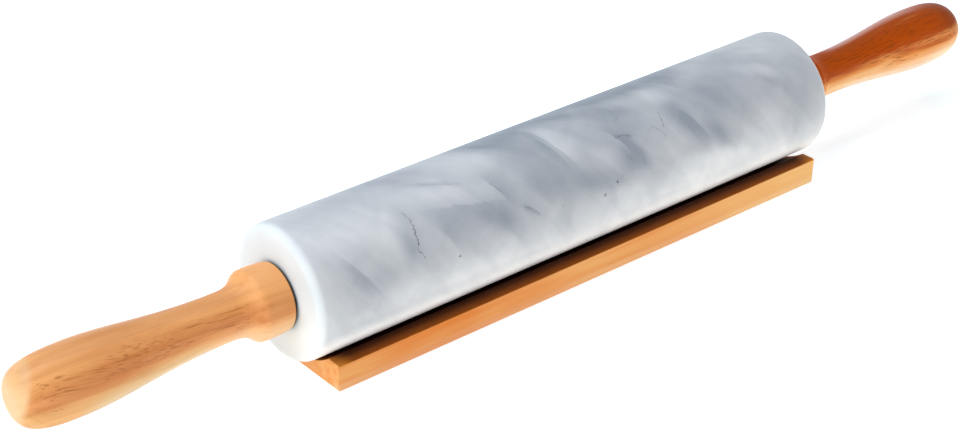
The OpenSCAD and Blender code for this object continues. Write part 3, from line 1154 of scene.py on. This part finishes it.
repaint("axle_rod", STEEL)
for side in ("left", "right"):
    repaint(side + "_stop_nut", STEEL)
    repaint(side + "_threaded_insert", BRASS)
    repaint(side + "_bearing", NYLON)
    repaint(side + "_thrust_washer", GAP_SHADE_NYLON)


# Floor, light and camera

# The floor is a square with a faint mottle. It glows: one glow lights the object from below, and the other
# is what the camera sees. The latter turns to white between two distances from the middle.
FLOOR_HALF = 6.0
FLOOR_PALE = (0.86, 0.86, 0.86)
FLOOR_DULL = (0.83, 0.83, 0.83)
FLOOR_NOISE = (3.0, 2.0, 0.5)
FLOOR_MOTTLE = 0.02
FLOOR_ROUGH = 0.9
FLOOR_GLOW = (0.46, 0.47, 0.47)
FLOOR_SEEN_GLOW = (0.60, 0.69, 0.76)
FLOOR_WHITENS = (0.7, 2.2)

# Faint cool light from all sides
AIR_COLOUR = (0.86, 0.92, 1.0)
AIR_LEVEL = 0.04

# Lamps: name, place, aim, size, power in watts and colour
LAMPS = [
    ("left_soft", (-1.3, -0.25, 0.35), (0, 0, 0.03), (0.9, 0.9), 8.9, (0.94, 0.97, 1.0)),
    ("front_low", (0.1, -1.4, 0.045), (0, 0, 0.02), (1.8, 0.09), 4.8, (1.0, 0.97, 0.94)),
    ("right_low", (0.62, -0.62, 0.05), (0.16, 0, 0.03), (0.5, 0.1), 1.7, (1.0, 0.97, 0.94)),
    ("top_back", (0.1, 0.5, 1.4), (0, 0, 0.03), (1.6, 0.8), 10.6, (0.86, 0.93, 1.0)),
    ("top_left", (-0.45, 0.15, 0.75), (-0.1, 0, 0.03), (0.6, 0.6), 3.2, (0.86, 0.92, 1.0)),
]

# The camera was matched to the photograph's outlines. Angles are in degrees, lens and sensor in mm.
CAMERA_PLACE = (-0.47578, -0.52222, 0.42329)
CAMERA_AZIMUTH = 40.122
CAMERA_ELEVATION = 30.045
CAMERA_ROLL = 0.748
CAMERA_LENS = 79.63
SENSOR_WIDTH = 36.0
CLIP_START = 0.01
CLIP_END = 50


def studio_white():
    """A dull pale floor with its own glow."""
    g = Surface("studio_white")
    mottle = g.remap(g.level(g.place, *FLOOR_NOISE), *NOISE_SPAN, 0.0, FLOOR_MOTTLE)
    g.finish(g.mix(mottle, FLOOR_PALE, FLOOR_DULL), FLOOR_ROUGH, Specular_IOR_Level=0.0)
    far = g.remap(g.length(g.place), *FLOOR_WHITENS)
    glow_colour = g.mix(g.seen(), FLOOR_GLOW, g.mix(far, FLOOR_SEEN_GLOW, WHITE))
    glow = g.node("ShaderNodeEmission", {"Color": glow_colour, "Strength": 1.0})
    total = g.node("ShaderNodeAddShader", {0: g.shader.outputs[0], 1: glow.outputs[0]})
    g.put(g.tree.nodes["Material Output"].inputs["Surface"], total.outputs[0])
    return g.material


def floor():
    bm = bmesh.new()
    corners = ((-1, -1), (1, -1), (1, 1), (-1, 1))
    bm.faces.new([bm.verts.new((FLOOR_HALF * x, FLOOR_HALF * y, 0)) for x, y in corners])
    piece = finish_mesh("studio_floor", bm)
    piece.data.materials.append(studio_white())


def world():
    """White where it is seen, and the air's light elsewhere."""
    made = bpy.data.worlds.new("studio_air")
    bpy.context.scene.world = made
    made.use_nodes = True
    made.node_tree.nodes.clear()
    g = Graph(made.node_tree)
    air = g.node("ShaderNodeBackground", {"Color": (*AIR_COLOUR, 1), "Strength": AIR_LEVEL})
    white = g.node("ShaderNodeBackground", {"Color": (*WHITE, 1), "Strength": 1.0})
    pick = g.node("ShaderNodeMixShader", {0: g.seen(), 1: air.outputs[0], 2: white.outputs[0]})
    g.node("ShaderNodeOutputWorld", {"Surface": pick.outputs[0]})


def area_light(name, place, aim, size, power, colour):
    light = bpy.data.lights.new(name, "AREA")
    light.shape = "RECTANGLE"
    light.size, light.size_y = size
    light.energy = power
    light.color = colour
    lamp = link(name, light)
    lamp.location = place
    lamp.rotation_euler = (Vector(aim) - Vector(place)).to_track_quat("-Z", "Y").to_euler()


def camera():
    """The photograph's view, from a place, the direction looked in and a small roll."""
    azimuth, elevation, roll = (radians(v) for v in (CAMERA_AZIMUTH, CAMERA_ELEVATION, CAMERA_ROLL))
    forward = Vector((sin(azimuth) * cos(elevation), cos(azimuth) * cos(elevation), -sin(elevation)))
    level = Vector((cos(azimuth), -sin(azimuth), 0))
    upright = level.cross(forward)
    right = cos(roll) * level + sin(roll) * upright
    up = cos(roll) * upright - sin(roll) * level
    made = bpy.data.cameras.new("photo_camera")
    made.lens = CAMERA_LENS
    made.sensor_width = SENSOR_WIDTH
    made.sensor_fit = "HORIZONTAL"
    made.clip_start = CLIP_START
    made.clip_end = CLIP_END
    piece = link("photo_camera", made)
    turn = Matrix((right, up, -forward)).transposed().to_4x4()
    piece.matrix_world = Matrix.Translation(CAMERA_PLACE) @ turn
    bpy.context.scene.camera = piece


floor()
world()
for lamp in LAMPS:
    area_light(*lamp)
camera()
bpy.context.scene.view_settings.view_transform = "Standard"
